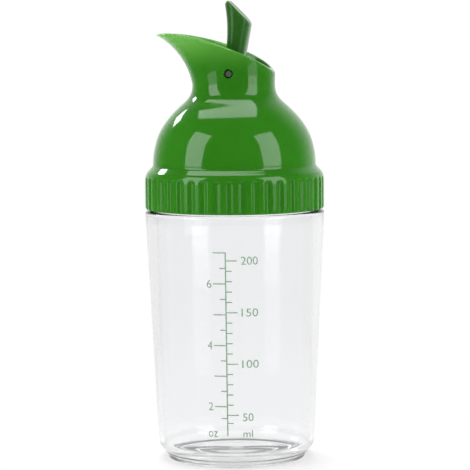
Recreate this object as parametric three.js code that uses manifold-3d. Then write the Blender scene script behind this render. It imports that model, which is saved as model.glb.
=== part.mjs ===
// Salad dressing shaker: a clear moulded bottle, a screw lid drawn out into a pouring beak,
// and a thumb lever that lifts a silicone plug off the pour hole.
// Millimetres, +Z up. The origin is the centre of the bottle's foot, and the beak points to -X.
import * as THREE from 'three';
import { mergeVertices } from 'three/addons/utils/BufferGeometryUtils.js';
import Module from 'manifold-3d';

const wasm = await Module();
wasm.setup();

// Bottle
const shoulderZ = 93.1;
const bodyTopRadius = 33.6;
const bodyBottomRadius = 29.43;
const wallAtTop = 4.2;
const wallAtBottom = 1.7;
const floorThickness = 2.0;
const chamferWidth = 3.53;
const chamferTop = 6.0;
const footHeight = 1.0;
const footRingWidth = 2.6;
const footRecess = 0.6;
const footEdge = 0.4;
const shoulderRounding = 1.1;
const innerCorner = 3.6;
const gateRadius = 4.0;
const gateDepth = 0.35;
const neckWall = 1.45;
const neckHeight = 9.2;
const rimRounding = 0.35;

// Screw thread between bottle and lid
const threadStarts = 2;
const threadLead = 9.0;
const threadHeight = 0.75;
const threadRoot = 1.7;
const threadCrest = 0.7;
const threadSink = 0.25;
const bottleThreadTurn = 165;
const lidThreadTurn = 80;
const threadClearance = 0.3;

// Lid: fluted band, shoulder, dome and neck
const bandInset = 0.1;
const bandGap = 0.55;
const bandHeight = 10.55;
const bandEdge = 0.8;
const fluteCount = 44;
const fluteRadius = 1.95;
const fluteDepth = 0.62;
const fluteOverrun = 2.6;
const shoulderWidth = 2.95;
const shoulderHeight = 5.6;
const domeHeight = 29.2;
const domeShoulderInset = 1.45;
const domeShoulderHeight = 9.4;
const waistInset = 8.5;
const waistHeight = 21.8;
const neckRadius = 15.45;
const lidWall = 2.0;

// Beak, measured from the foot of the neck
const beakReach = 29.3;
const beakRise = 19.6;
const beakPointedness = 1.45;
const rimBackReach = 16.1;
const rimBackRise = 4.9;
const beakWall = 2.0;
const rimBulge = 0.35;
const backLipFlare = 0.035;
const sideFlare = 0.012;
const frontWallSlant = 2.2;

// Floor under the beak, with the pour hole and its seat
const partitionDrop = 1.6;
const partitionThickness = 1.8;
const pourHoleOffset = 6.5;
const pourHoleRadius = 3.6;
const seatWidth = 1.1;
const seatHeight = 0.8;

// Lever and pin
const pinRise = 5.0;
const pinRadius = 1.3;
const pinClearance = 0.3;
const pinInset = 0.9;
const hubRadius = 3.4;
const hubSideGap = 0.8;
const stalkHeight = 26.9;
const stalkWidth = 13.6;
const stalkSquareness = 2.7;
const stalkFrontAtHub = 3.5;
const stalkFrontAtWaist = 2.05;
const stalkFrontAtTop = 3.1;
const stalkWaistShare = 0.62;
const stalkBackAtHub = 3.4;
const stalkBackGrowth = 0.187;
const thumbFaceStart = -1.2;
const thumbFaceSlope = 1.02;
const thumbFaceEdge = 0.9;
const thumbDish = 0.35;
const thumbDishShare = 0.4;
const thumbFaceRoll = 0.3;
const carrierThickness = 1.6;
const carrierRadius = 4.7;

// Silicone parts
const sealThickness = 1.5;
const seatingGap = 0.3;
const plugRadius = 4.6;
const plugThickness = 1.8;
const plugNose = 0.45;
const plugStemRadius = 1.5;
const plugButtonRadius = 2.3;
const plugButtonHeight = 1.0;

// Facets
const roundFacets = 88;
const insideFacets = 60;
const smallFacets = 24;
const fluteFacets = 8;
const domeSteps = 4;
const beakSides = 48;
const stalkSides = 20;
const stalkRows = 6;

// Colours
const lidGreen = 0x30741e;
const leverGreen = 0x2a5f28;

// Derived sizes of the bottle
const footRadius = bodyBottomRadius - chamferWidth;
const innerBottomRadius = bodyBottomRadius - wallAtBottom;
const neckInnerRadius = bodyTopRadius - wallAtTop;
const neckOuterRadius = neckInnerRadius + neckWall;
const neckTop = shoulderZ + neckHeight;

// Derived sizes of the lid
const bandInnerRadius = neckOuterRadius + threadHeight + threadClearance;
const bandRadius = bodyTopRadius - bandInset;
const bandBottom = shoulderZ + bandGap;
const bandTop = bandBottom + bandHeight;
const ceilingZ = neckTop + 2 * seatingGap + sealThickness;
const creaseRadius = bandRadius - shoulderWidth;
const creaseZ = bandTop + shoulderHeight;
const domeShoulderRadius = creaseRadius - domeShoulderInset;
const domeShoulderZ = creaseZ + domeShoulderHeight;
const waistRadius = domeShoulderRadius - waistInset;
const waistZ = creaseZ + waistHeight;
const neckFootZ = creaseZ + domeHeight;
const ceilingRadius = creaseRadius - 1.1 * lidWall;
const beakTipZ = neckFootZ + beakRise;
const beakInnerRadius = neckRadius - beakWall;
const partitionTop = neckFootZ - partitionDrop;
const seatTop = partitionTop + seatHeight;

// Derived sizes of the lever and its plug
const pinZ = neckFootZ + pinRise;
const pinHoleRadius = pinRadius + pinClearance;
const plugBottom = seatTop + seatingGap;
const plugTop = plugBottom + plugThickness;
const carrierBottom = plugTop + seatingGap;
const carrierTop = carrierBottom + carrierThickness;

function toSolid(geometry) {
  const bare = geometry.clone();
  bare.deleteAttribute('normal');
  bare.deleteAttribute('uv');
  const merged = mergeVertices(bare, 1e-4);
  return new wasm.Manifold(new wasm.Mesh({
    numProp: 3,
    vertProperties: new Float32Array(merged.attributes.position.array),
    triVerts: new Uint32Array(merged.index.array),
  }));
}

function toGeometry(solid) {
  const mesh = solid.getMesh();
  const geometry = new THREE.BufferGeometry();
  geometry.setAttribute('position', new THREE.BufferAttribute(mesh.vertProperties, 3));
  geometry.setIndex(new THREE.BufferAttribute(mesh.triVerts, 1));
  geometry.computeVertexNormals();
  return geometry;
}

// A profile of [radius, z] points turned about Z.
function turn(points, facets = roundFacets) {
  const profile = points.map(([r, z]) => new THREE.Vector2(r, z));
  return new THREE.LatheGeometry(profile, facets).rotateX(Math.PI / 2);
}

// A disc or tube standing along Z.
function disc(radius, bottom, top, facets = smallFacets) {
  return turn([[0, bottom], [radius, bottom], [radius, top], [0, top]], facets);
}

// A rod lying along Y, centred on the pin's height.
function crossRod(radius, halfLength, facets = smallFacets) {
  return new THREE.CylinderGeometry(radius, radius, 2 * halfLength, facets).translate(0, 0, pinZ);
}

function arcPoints(centreR, centreZ, radius, fromDegrees, toDegrees, steps) {
  const points = [];
  for (let i = 0; i <= steps; i += 1) {
    const angle = THREE.MathUtils.degToRad(fromDegrees + (toDegrees - fromDegrees) * i / steps);
    points.push([centreR + radius * Math.cos(angle), centreZ + radius * Math.sin(angle)]);
  }
  return points;
}

// A closed skin over rings of equal length: the last ring joins the first one.
function ringSkin(rings) {
  const count = rings[0].length;
  const positions = rings.flat(2);
  const index = [];
  for (let i = 0; i < rings.length; i += 1) {
    const next = (i + 1) % rings.length;
    for (let j = 0; j < count; j += 1) {
      const a = i * count + j;
      const b = i * count + (j + 1) % count;
      const c = next * count + (j + 1) % count;
      const d = next * count + j;
      index.push(a, b, c, a, c, d);
    }
  }
  const geometry = new THREE.BufferGeometry();
  geometry.setAttribute('position', new THREE.Float32BufferAttribute(positions, 3));
  geometry.setIndex(index);
  return geometry;
}

// One thread ridge: a trapezoid swept along a helix, run out to nothing at both ends.
// The crest stands outwards where height is positive and inwards where it is negative.
function threadRidge(rootRadius, height, startAngle, startZ, sweep) {
  const steps = Math.round(sweep / THREE.MathUtils.degToRad(9));
  const positions = [];
  const index = [];
  const sink = -Math.sign(height) * threadSink;
  for (let i = 0; i <= steps; i += 1) {
    const turned = sweep * i / steps;
    const angle = startAngle + turned;
    const z = startZ + threadLead * turned / (2 * Math.PI);
    const runOut = Math.min(1, Math.min(i, steps - i) / 3 + 0.15);
    const section = [
      [rootRadius + sink, -threadRoot / 2],
      [rootRadius + height * runOut, -threadCrest / 2],
      [rootRadius + height * runOut, threadCrest / 2],
      [rootRadius + sink, threadRoot / 2],
    ];
    for (const [r, dz] of section) {
      positions.push(r * Math.cos(angle), r * Math.sin(angle), z + dz);
    }
  }
  for (let i = 0; i < steps; i += 1) {
    for (let j = 0; j < 4; j += 1) {
      const a = 4 * i + j;
      const b = 4 * i + (j + 1) % 4;
      const quad = [a, b, b + 4, a + 4];
      index.push(quad[0], quad[2], quad[1], quad[0], quad[3], quad[2]);
    }
  }
  const last = 4 * steps;
  index.push(0, 1, 2, 0, 2, 3, last, last + 2, last + 1, last, last + 3, last + 2);
  const geometry = new THREE.BufferGeometry();
  geometry.setAttribute('position', new THREE.Float32BufferAttribute(positions, 3));
  if (height < 0) {
    for (let i = 0; i < index.length; i += 3) {
      [index[i + 1], index[i + 2]] = [index[i + 2], index[i + 1]];
    }
  }
  geometry.setIndex(index);
  return toSolid(geometry);
}

// Ridges for every start, at the height where the lid's and the bottle's helices interleave.
function addThread(solid, rootRadius, height, middleZ, turnDegrees) {
  const sweep = THREE.MathUtils.degToRad(turnDegrees);
  const firstZ = middleZ - threadLead * turnDegrees / 720;
  let joined = solid;
  for (let start = 0; start < threadStarts; start += 1) {
    const startAngle = start * 2 * Math.PI / threadStarts;
    joined = joined.add(threadRidge(rootRadius, height, startAngle, firstZ, sweep));
  }
  return joined;
}

function buildBottle() {
  const outerSlope = (bodyTopRadius - bodyBottomRadius) / (shoulderZ - chamferTop);
  const gateZ = floorThickness - gateDepth;
  const footInner = footRadius - footRingWidth;
  const cornerZ = floorThickness + innerCorner;
  const profile = [
    [0, footRecess],
    [footInner, footRecess],
    [footInner + footEdge, 0],
    [footRadius, 0],
    [footRadius, footHeight],
    [footRadius + 0.4 * chamferWidth, footHeight + 0.3 * (chamferTop - footHeight)],
    [bodyBottomRadius - 0.2 * chamferWidth, chamferTop - 0.3 * (chamferTop - footHeight)],
    [bodyBottomRadius, chamferTop],
    [(bodyBottomRadius + bodyTopRadius) / 2, (chamferTop + shoulderZ) / 2],
    [bodyTopRadius - outerSlope * shoulderRounding, shoulderZ - shoulderRounding],
    ...arcPoints(bodyTopRadius - shoulderRounding, shoulderZ - shoulderRounding, shoulderRounding, 22, 90, 4),
    [neckOuterRadius + rimRounding, shoulderZ],
    [neckOuterRadius, shoulderZ + rimRounding],
    [neckOuterRadius, neckTop - rimRounding],
    [neckOuterRadius - rimRounding, neckTop],
    [neckInnerRadius + rimRounding, neckTop],
    [neckInnerRadius, neckTop - rimRounding],
    [neckInnerRadius, shoulderZ],
    [innerBottomRadius, cornerZ],
    ...arcPoints(innerBottomRadius - innerCorner, cornerZ, innerCorner, -20, -90, 4),
    [gateRadius + 2 * gateDepth, floorThickness],
    [gateRadius, gateZ],
    [0, gateZ],
  ];
  const body = toSolid(turn(profile, insideFacets));
  return toGeometry(addThread(body, neckOuterRadius, threadHeight, shoulderZ + neckHeight / 2, bottleThreadTurn));
}

// The dome's outer curve, from the crease over the band up to the straight neck.
function domeCurve() {
  const path = new THREE.Path();
  const fromWaist = waistRadius - neckRadius;
  const sideRise = domeShoulderZ - creaseZ;
  const crownRise = waistZ - domeShoulderZ;
  const crownRun = domeShoulderRadius - waistRadius;
  path.moveTo(creaseRadius, creaseZ);
  path.bezierCurveTo(
    creaseRadius, creaseZ + 0.36 * sideRise,
    creaseRadius - 0.45 * domeShoulderInset, creaseZ + 0.7 * sideRise,
    domeShoulderRadius, domeShoulderZ,
  );
  path.bezierCurveTo(
    domeShoulderRadius - 0.18 * crownRun, domeShoulderZ + 0.4 * crownRise,
    waistRadius + 0.42 * crownRun, waistZ - 0.26 * crownRise,
    waistRadius, waistZ,
  );
  path.bezierCurveTo(
    waistRadius - 0.66 * fromWaist, waistZ + 0.38 * (neckFootZ - waistZ),
    neckRadius, waistZ + 0.68 * (neckFootZ - waistZ),
    neckRadius, neckFootZ + 1,
  );
  return path.getPoints(domeSteps).map((point) => [point.x, point.y]);
}

function buildLidShell() {
  const inside = domeCurve().map(([r, z], i, all) => {
    const before = all[Math.max(0, i - 1)];
    const after = all[Math.min(all.length - 1, i + 1)];
    const along = Math.hypot(after[0] - before[0], after[1] - before[1]);
    return [r - lidWall * (after[1] - before[1]) / along, z + lidWall * (after[0] - before[0]) / along];
  });
  const underside = partitionTop - partitionThickness;
  const insideDome = inside.filter(([, z], i) => i % 2 === 1 && z < underside && z > creaseZ);
  const outer = turn([
    [0, bandBottom],
    [bandRadius - bandEdge, bandBottom],
    [bandRadius - 0.25 * bandEdge, bandBottom + 0.25 * bandEdge],
    [bandRadius, bandBottom + bandEdge],
    [bandRadius, bandTop],
    [bandRadius - 0.14 * shoulderWidth, bandTop + 0.27 * shoulderHeight],
    [bandRadius - 0.39 * shoulderWidth, bandTop + 0.54 * shoulderHeight],
    [bandRadius - 0.68 * shoulderWidth, bandTop + 0.82 * shoulderHeight],
    [creaseRadius + 0.05 * shoulderWidth, creaseZ - 0.12 * shoulderHeight],
    ...domeCurve(),
    [0, neckFootZ + 1],
  ]);
  const hollow = turn([
    [0, bandBottom - bandEdge],
    [bandInnerRadius, bandBottom - bandEdge],
    [bandInnerRadius, ceilingZ],
    [ceilingRadius, ceilingZ],
    [ceilingRadius, creaseZ - 0.5 * lidWall],
    ...insideDome,
    [insideDome.at(-1)[0] - 0.6 * lidWall, underside],
    [0, underside],
  ], insideFacets);
  return toSolid(outer).subtract(toSolid(hollow));
}

// Beak sections: a circle whose front is drawn out to the reach of the underside curve.
const undersideCurve = new THREE.CubicBezierCurve(
  new THREE.Vector2(-neckRadius, neckFootZ),
  new THREE.Vector2(-neckRadius, neckFootZ + 0.23 * beakRise),
  new THREE.Vector2(-neckRadius - 0.31 * (beakReach - neckRadius), neckFootZ + 0.75 * beakRise),
  new THREE.Vector2(-beakReach, beakTipZ),
);
const rimCurve = new THREE.CubicBezierCurve(
  new THREE.Vector2(-beakReach, beakTipZ),
  new THREE.Vector2(-0.67 * beakReach, neckFootZ + 1.15 * beakRise),
  new THREE.Vector2(0.63 * rimBackReach, neckFootZ + 0.65 * beakRise),
  new THREE.Vector2(rimBackReach, neckFootZ + rimBackRise),
);

// Where a curve that runs one way crosses a value of one of its coordinates.
function crossing(curve, coordinate, value, other) {
  const rising = curve.v3[coordinate] > curve.v0[coordinate];
  let low = 0;
  let high = 1;
  for (let i = 0; i < 40; i += 1) {
    const middle = (low + high) / 2;
    const below = curve.getPoint(middle)[coordinate] < value;
    if (below === rising) {
      low = middle;
    } else {
      high = middle;
    }
  }
  return curve.getPoint((low + high) / 2)[other];
}

function frontReach(z) {
  return z <= neckFootZ ? neckRadius : -crossing(undersideCurve, 'y', Math.min(z, beakTipZ), 'x');
}

function rimHeight(x) {
  return crossing(rimCurve, 'x', THREE.MathUtils.clamp(x, -beakReach, rimBackReach), 'y');
}

// A point of the beak's wall at one height; inset moves it in from the outer face.
function beakPoint(angle, z, inset) {
  const reach = frontReach(z);
  const lean = (frontReach(z + 0.5) - frontReach(z - 0.5));
  const frontInset = inset * Math.min(frontWallSlant, Math.hypot(1, lean));
  const stretch = THREE.MathUtils.clamp((reach - neckRadius) / (beakReach - neckRadius), 0, 1);
  const power = 1 + (beakPointedness - 1) * stretch;
  const back = Math.cos(angle) > 0;
  const lipRise = Math.max(0, z - neckFootZ - 0.4 * rimBackRise);
  const lip = back ? backLipFlare * lipRise * Math.cos(angle) ** 4 : 0;
  const x = back ? (neckRadius - inset + lip) * Math.cos(angle) : (reach - frontInset) * Math.cos(angle);
  const side = Math.abs(Math.sin(angle)) ** (back ? 1 : power);
  const halfWidth = neckRadius + sideFlare * Math.max(0, z - neckFootZ - 0.8 * rimBackRise) ** 2;
  return [x, Math.sign(Math.sin(angle)) * (halfWidth - inset) * side, z];
}

// The height at which the wall at this angle meets the rim surface.
function rimPoint(angle, inset) {
  let low = neckFootZ;
  let high = beakTipZ + beakWall;
  for (let i = 0; i < 30; i += 1) {
    const middle = (low + high) / 2;
    if (rimHeight(beakPoint(angle, middle, inset)[0]) > middle) {
      low = middle;
    } else {
      high = middle;
    }
  }
  return beakPoint(angle, low, inset);
}

function buildBeak() {
  const outerRows = 8;
  const innerRows = 6;
  const rows = Array.from({ length: outerRows + innerRows + 2 }, () => []);
  for (let j = 0; j < beakSides; j += 1) {
    const angle = 2 * Math.PI * j / beakSides;
    const bulge = rimBulge * beakWall;
    const outerTop = rimPoint(angle, 0);
    const innerTop = rimPoint(angle, beakWall);
    outerTop[2] -= bulge;
    innerTop[2] -= bulge;
    const floorZ = partitionTop - partitionThickness / 2;
    const wallBase = partitionTop;
    for (let i = 0; i < outerRows; i += 1) {
      const z = wallBase + (outerTop[2] - wallBase) * i / (outerRows - 1);
      rows[i].push(beakPoint(angle, z, 0));
    }
    for (const [k, share] of [[0, 0.25], [1, 0.75]]) {
      const point = outerTop.map((value, axis) => value + share * (innerTop[axis] - value));
      point[2] += bulge;
      rows[outerRows + k].push(point);
    }
    for (let i = 0; i < innerRows; i += 1) {
      const z = innerTop[2] + (floorZ - innerTop[2]) * i / (innerRows - 1);
      rows[outerRows + 2 + i].push(beakPoint(angle, z, beakWall));
    }
  }
  return toSolid(ringSkin(rows));
}

function buildLid() {
  let lid = buildLidShell();
  lid = lid.subtract(toSolid(disc(neckRadius - 0.55 * beakWall, partitionTop, neckFootZ + 3, insideFacets)));
  lid = lid.add(buildBeak());
  const seatRadius = pourHoleRadius + seatWidth;
  const seat = disc(seatRadius, partitionTop - partitionThickness / 2, seatTop);
  const hole = disc(pourHoleRadius, partitionTop - 3 * partitionThickness, seatTop + seatHeight);
  lid = lid.add(toSolid(seat.translate(-pourHoleOffset, 0, 0)));
  lid = lid.subtract(toSolid(hole.translate(-pourHoleOffset, 0, 0)));
  lid = lid.subtract(toSolid(crossRod(pinHoleRadius, 2 * neckRadius)));
  const cutterCentre = bandRadius - fluteDepth + fluteRadius;
  const archZ = bandTop + fluteOverrun - fluteRadius;
  const cutter = turn([
    [0, bandBottom - fluteRadius],
    [fluteRadius, bandBottom - fluteRadius],
    [fluteRadius, archZ],
    ...arcPoints(0, archZ, fluteRadius, 30, 90, 2),
  ], fluteFacets);
  for (let i = 0; i < fluteCount; i += 1) {
    const angle = 2 * Math.PI * (i + 0.5) / fluteCount;
    const flute = cutter.clone().translate(cutterCentre, 0, 0).rotateZ(angle);
    lid = lid.subtract(toSolid(flute));
  }
  const middleZ = shoulderZ + neckHeight / 2 - threadLead / (2 * threadStarts);
  return toGeometry(addThread(lid, bandInnerRadius, -threadHeight, middleZ, lidThreadTurn));
}

function buildSealRing() {
  const inner = neckInnerRadius - rimRounding;
  const outer = bandInnerRadius - seatingGap;
  const bottom = neckTop + seatingGap;
  const top = bottom + sealThickness;
  return turn([[inner, bottom], [outer, bottom], [outer, top], [inner, top], [inner, bottom]], insideFacets);
}

// A closed skin over rings of equal length, with a flat fan over the first and the last.
function cappedSkin(rings) {
  const count = rings[0].length;
  const middleOf = (ring) => [0, 1, 2].map((axis) => ring.reduce((sum, point) => sum + point[axis], 0) / count);
  const positions = [...rings.flat(), middleOf(rings[0]), middleOf(rings.at(-1))].flat();
  const index = [];
  const firstMiddle = rings.length * count;
  const lastStart = firstMiddle - count;
  for (let j = 0; j < count; j += 1) {
    const k = (j + 1) % count;
    for (let i = 0; i < rings.length - 1; i += 1) {
      const low = i * count;
      const high = low + count;
      index.push(low + j, low + k, high + k, low + j, high + k, high + j);
    }
    index.push(firstMiddle, k, j, firstMiddle + 1, lastStart + j, lastStart + k);
  }
  const geometry = new THREE.BufferGeometry();
  geometry.setAttribute('position', new THREE.Float32BufferAttribute(positions, 3));
  geometry.setIndex(index);
  return geometry;
}

// A point of the stalk's rounded section. Share runs from the hub to the tip, and scale shrinks the section.
function stalkPoint(angle, share, scale) {
  const towardsWaist = share < stalkWaistShare;
  const away = (share - stalkWaistShare) / (towardsWaist ? stalkWaistShare : 1 - stalkWaistShare);
  const endFront = towardsWaist ? stalkFrontAtHub : stalkFrontAtTop;
  const front = -stalkFrontAtWaist - (endFront - stalkFrontAtWaist) * away ** 2;
  const back = stalkBackAtHub + stalkBackGrowth * share * stalkHeight;
  const squared = (value) => Math.sign(value) * Math.abs(value) ** (2 / stalkSquareness);
  const x = (front + back) / 2 + scale * squared(Math.cos(angle)) * (back - front) / 2;
  return [x, scale * squared(Math.sin(angle)) * stalkWidth / 2, pinZ + share * stalkHeight];
}

// Height of the slanted thumb face, which rolls over at the tip.
function thumbFaceHeight(x) {
  const past = x - thumbFaceStart;
  return pinZ + stalkHeight - (past > 0 ? thumbFaceSlope * past : thumbFaceRoll * past ** 2);
}

// The share of the stalk's height at which its side reaches the rounded edge of the thumb face.
function sideTop(angle) {
  let share = 1;
  for (let i = 0; i < 12; i += 1) {
    share = (thumbFaceHeight(stalkPoint(angle, share, 1)[0]) - thumbFaceEdge - pinZ) / stalkHeight;
  }
  return share;
}

function buildStalk() {
  const edge = 2 * thumbFaceEdge / stalkWidth;
  const faceRings = [
    { scale: 1 - 0.3 * edge, drop: 0.3 * thumbFaceEdge },
    { scale: 1 - edge, drop: 0 },
    { scale: thumbDishShare, drop: thumbDish },
  ];
  const rings = Array.from({ length: stalkRows + faceRings.length }, () => []);
  for (let j = 0; j < stalkSides; j += 1) {
    const angle = 2 * Math.PI * j / stalkSides;
    const top = sideTop(angle);
    for (let i = 0; i < stalkRows; i += 1) {
      rings[i].push(stalkPoint(angle, top * i / (stalkRows - 1), 1));
    }
    faceRings.forEach(({ scale, drop }, k) => {
      const [x, y] = stalkPoint(angle, top, scale);
      rings[stalkRows + k].push([x, y, thumbFaceHeight(x) - drop]);
    });
  }
  return toSolid(cappedSkin(rings));
}

function buildLever() {
  const halfHub = beakInnerRadius - hubSideGap;
  const carrier = disc(carrierRadius, carrierBottom, carrierTop, 32).translate(-pourHoleOffset, 0, 0);
  const arm = new THREE.BoxGeometry(pourHoleOffset, 2 * carrierRadius, carrierThickness)
    .translate(-pourHoleOffset / 2, 0, (carrierBottom + carrierTop) / 2);
  const stemHole = disc(plugStemRadius + seatingGap, carrierBottom - seatingGap, carrierTop + seatingGap);
  let lever = buildStalk().add(toSolid(crossRod(hubRadius, halfHub, 32)));
  lever = lever.add(toSolid(carrier)).add(toSolid(arm));
  lever = lever.subtract(toSolid(stemHole.translate(-pourHoleOffset, 0, 0)));
  const buttonRoom = disc(plugButtonRadius + seatingGap, carrierTop, pinZ + hubRadius);
  lever = lever.subtract(toSolid(buttonRoom.translate(-pourHoleOffset, 0, 0)));
  return toGeometry(lever.subtract(toSolid(crossRod(pinHoleRadius, 2 * neckRadius))));
}

function buildPlug() {
  const buttonBottom = carrierTop + seatingGap;
  return turn([
    [0, plugBottom - plugNose],
    [pourHoleRadius - 3 * plugNose, plugBottom - plugNose],
    [pourHoleRadius - plugNose, plugBottom],
    [plugRadius, plugBottom],
    [plugRadius, plugTop],
    [plugStemRadius, plugTop],
    [plugStemRadius, buttonBottom],
    [plugButtonRadius, buttonBottom],
    [0.8 * plugButtonRadius, buttonBottom + plugButtonHeight],
    [0, buttonBottom + plugButtonHeight],
  ], smallFacets).translate(-pourHoleOffset, 0, 0);
}

function buildPin() {
  const half = neckRadius - pinInset;
  return new THREE.CylinderGeometry(pinRadius, pinRadius, 2 * half, smallFacets).translate(0, 0, pinZ);
}

function plastic(color, roughness) {
  return new THREE.MeshStandardMaterial({ color, roughness, metalness: 0 });
}

function piece(name, geometry, material) {
  const mesh = new THREE.Mesh(geometry, material);
  mesh.name = name;
  return mesh;
}

const clear = new THREE.MeshStandardMaterial({
  color: 0xeef2f3,
  roughness: 0.06,
  metalness: 0,
  transparent: true,
  opacity: 0.35,
});
const silicone = plastic(0xe4e6e2, 0.55);
const steel = new THREE.MeshStandardMaterial({ color: 0xb9b9b6, roughness: 0.3, metalness: 1 });

const shaker = new THREE.Group();
shaker.add(piece('bottle', buildBottle(), clear));
shaker.add(piece('lid', buildLid(), plastic(lidGreen, 0.12)));
shaker.add(piece('seal_ring', buildSealRing(), silicone));
shaker.add(piece('lever', buildLever(), plastic(leverGreen, 0.18)));
shaker.add(piece('plug_seal', buildPlug(), silicone));
shaker.add(piece('pivot_pin', buildPin(), steel));

export default shaker;
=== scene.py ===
"""Looks of the salad dressing shaker: fine surfaces, materials, studio light and camera.

Lengths in the shape functions are millimetres, as in the model's source, and MM turns them into metres.
"""

import math

import bpy
import numpy as np
from mathutils import Matrix, Vector


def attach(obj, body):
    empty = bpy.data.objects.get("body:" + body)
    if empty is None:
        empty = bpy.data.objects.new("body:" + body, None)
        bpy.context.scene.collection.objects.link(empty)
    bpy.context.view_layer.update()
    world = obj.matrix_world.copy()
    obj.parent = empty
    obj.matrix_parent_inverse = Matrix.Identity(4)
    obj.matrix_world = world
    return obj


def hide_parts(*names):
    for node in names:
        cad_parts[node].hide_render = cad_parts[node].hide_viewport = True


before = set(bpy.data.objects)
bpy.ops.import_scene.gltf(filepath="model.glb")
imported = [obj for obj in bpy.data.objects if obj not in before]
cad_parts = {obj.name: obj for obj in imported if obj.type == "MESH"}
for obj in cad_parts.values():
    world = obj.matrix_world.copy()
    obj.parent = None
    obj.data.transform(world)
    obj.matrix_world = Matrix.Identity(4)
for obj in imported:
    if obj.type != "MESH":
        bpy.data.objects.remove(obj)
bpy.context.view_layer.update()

MM = 0.001

# Bottle
FOOT_RADIUS = 25.9
FOOT_HEIGHT = 1.0
FOOT_RING_WIDTH = 2.6
FOOT_RECESS = 0.6
CHAMFER_TOP = 6.0
BODY_BOTTOM_RADIUS = 29.43
BODY_TOP_RADIUS = 33.6
SHOULDER_Z = 93.1
SHOULDER_ROUNDING = 1.1
FLOOR_THICKNESS = 2.0
INNER_BOTTOM_RADIUS = 27.73
NECK_INNER_RADIUS = 29.4
INNER_CORNER = 3.6
GATE_RADIUS = 4.0
GATE_DEPTH = 0.12
NECK_WALL = 1.45
NECK_HEIGHT = 9.2
RIM_ROUNDING = 0.35

# Screw thread
THREAD_STARTS = 2
THREAD_LEAD = 9.0
THREAD_HEIGHT = 0.75
THREAD_ROOT = 1.7
THREAD_CREST = 0.7
BOTTLE_THREAD_SWEEP = math.radians(165)
LID_THREAD_SWEEP = math.radians(80)
THREAD_CLEARANCE = 0.3

# Lid
BAND_RADIUS = 33.5
BAND_TOP = 104.2
BAND_GAP = 0.55
BAND_EDGE = 0.8
FLUTE_COUNT = 44
FLUTE_RADIUS = 1.95
FLUTE_DEPTH = 0.62
FLUTE_TOP = 106.8
CREASE_RADIUS = 30.55
CREASE_Z = 109.8
DOME_SHOULDER_RADIUS = 29.1
DOME_SHOULDER_Z = 119.2
NECK_RADIUS = 15.45
LID_WALL = 2.0
CEILING_RADIUS = 28.35
SEAL_THICKNESS = 1.5
SEAL_GAP = 0.3

# Beak
BEAK_BASE_Z = 139.0
BEAK_TIP_REACH = 29.3
BEAK_TIP_Z = 158.6
BEAK_POINTEDNESS = 1.45
SIDE_FLARE = 0.012
BACK_LIP_FLARE = 0.035
FRONT_WALL_SLANT = 2.2
RIM_BACK_REACH = 16.1
RIM_BACK_Z = 143.9
BEAK_WALL = 2.0

# Pour hole
PARTITION_TOP = 137.4
PARTITION_THICKNESS = 1.8
POUR_HOLE_OFFSET = 6.5
POUR_HOLE_RADIUS = 3.6
SEAT_WIDTH = 1.1
SEAT_HEIGHT = 0.8

# Lever and pin
PIN_Z = 144.0
PIN_RADIUS = 1.3
PIN_HOLE_RADIUS = 1.6
PIN_INSET = 0.9
HUB_RADIUS = 3.4
HUB_SIDE_GAP = 0.8
STALK_HEIGHT = 26.9
STALK_WIDTH = 13.6
STALK_SQUARENESS = 2.7
STALK_FRONT_AT_HUB = 3.5
STALK_FRONT_AT_WAIST = 2.05
STALK_FRONT_AT_TOP = 3.1
STALK_WAIST_SHARE = 0.62
STALK_BACK_AT_HUB = 3.4
STALK_BACK_GROWTH = 0.187
THUMB_FACE_START = -1.2
THUMB_FACE_SLOPE = 1.02
THUMB_FACE_ROLL = 0.3
THUMB_FACE_EDGE = 0.9
THUMB_DISH = 0.35
THUMB_DISH_SHARE = 0.4
CARRIER_RADIUS = 4.7
CARRIER_THICKNESS = 1.6

# Silicone plug
PLUG_RADIUS = 4.6
PLUG_THICKNESS = 1.8
PLUG_NOSE = 0.45
PLUG_STEM_RADIUS = 1.5
PLUG_BUTTON_RADIUS = 2.3
PLUG_BUTTON_HEIGHT = 1.0

# Printed scale: distances along the wall from its upright line, to the right of it positive
LINE_AZIMUTH = math.radians(1.15)
LINE_WIDTH = 0.45
LINE_BOTTOM = 12.7
LINE_TOP = 80.1
TICK_WIDTH = 0.4
LONG_TICK_LEFT = 4.6
SHORT_TICK_LEFT = 2.2
LONG_TICK_RIGHT = 4.15
SHORT_TICK_RIGHT = 2.25
DIGIT_HEIGHT = 2.95
UNIT_HEIGHT = 2.2
PRINT_THICKNESS = 0.03
PRINT_GAP = 0.02
MILLILITRE_HEIGHTS = ([40, 50, 200], [17.4, 20.4, 77.2])
OUNCE_HEIGHTS = ([1.5, 2, 7], [19.2, 23.6, 80.1])

# Derived sizes
NECK_TOP = SHOULDER_Z + NECK_HEIGHT
NECK_OUTER_RADIUS = NECK_INNER_RADIUS + NECK_WALL
BAND_INNER_RADIUS = NECK_OUTER_RADIUS + THREAD_HEIGHT + THREAD_CLEARANCE
BAND_BOTTOM = SHOULDER_Z + BAND_GAP
CEILING_Z = NECK_TOP + 2 * SEAL_GAP + SEAL_THICKNESS
SEAT_TOP = PARTITION_TOP + SEAT_HEIGHT
PLUG_BOTTOM = SEAT_TOP + SEAL_GAP
PLUG_TOP = PLUG_BOTTOM + PLUG_THICKNESS
CARRIER_BOTTOM = PLUG_TOP + SEAL_GAP
CARRIER_TOP = CARRIER_BOTTOM + CARRIER_THICKNESS
BUTTON_BOTTOM = CARRIER_TOP + SEAL_GAP

# Facets
BOTTLE_SIDES = 192
LID_SIDES = FLUTE_COUNT * 12
STALK_SIDES = 96
SMALL_SIDES = 72
SMOOTH_ANGLE = math.radians(38)

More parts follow.
